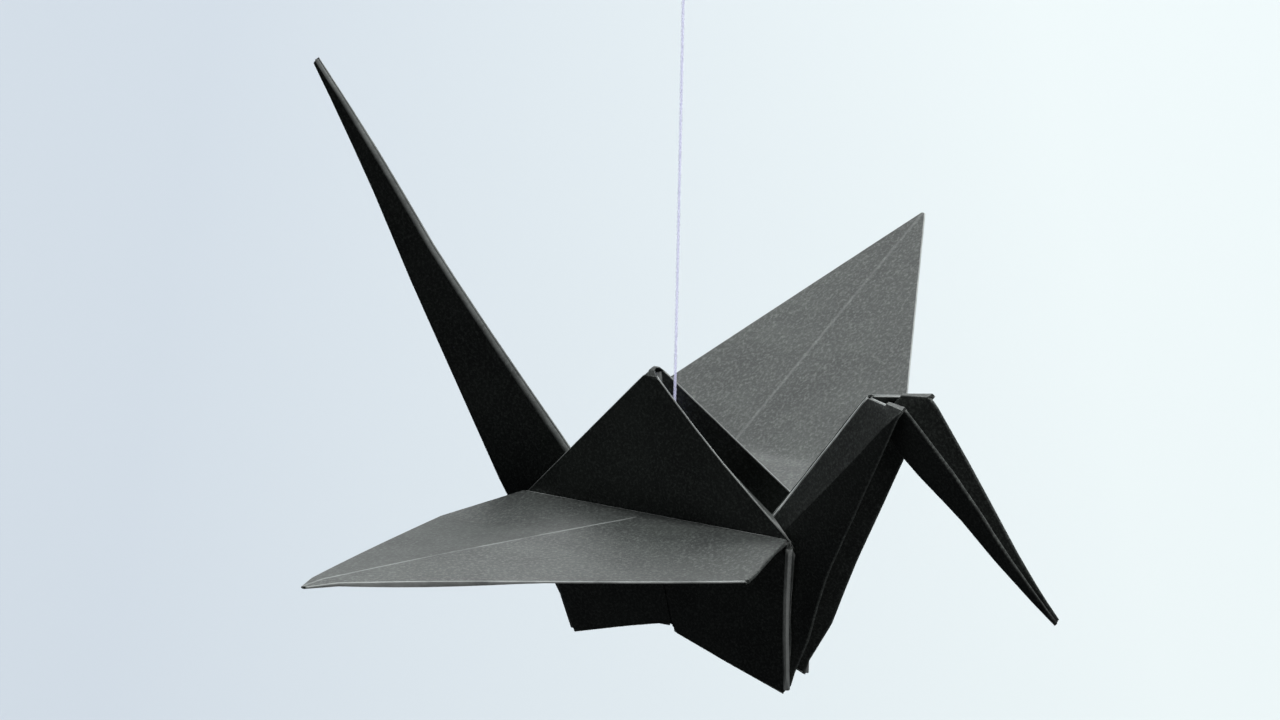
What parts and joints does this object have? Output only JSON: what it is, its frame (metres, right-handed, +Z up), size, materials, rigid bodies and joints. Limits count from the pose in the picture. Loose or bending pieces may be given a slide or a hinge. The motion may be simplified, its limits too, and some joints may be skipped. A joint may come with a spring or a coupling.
{
  "type": "origami crane",
  "caption": "Folded paper crane with open wings, hung nose slightly up on a fine taut thread with a tied loop at its top.",
  "frame": {"origin": "inner top of the thread's loop, where it hangs on a hook or a nail", "axes": "+Z up along the hanging thread, +X towards the crane's head, +Y towards the tip of the crane's left wing"},
  "size_m": [0.0961, 0.1254, 0.1052],
  "materials": {
    "black_paper": "matt, uncoated, with fine fibres",
    "lilac_thread": "slightly shiny twisted thread"
  },
  "bodies": {
    "root": {"folded_sheet": "black_paper", "hanging_thread": "lilac_thread", "stop_knot": "lilac_thread", "hanging_loop": "lilac_thread"}
  },
  "joints": []
}
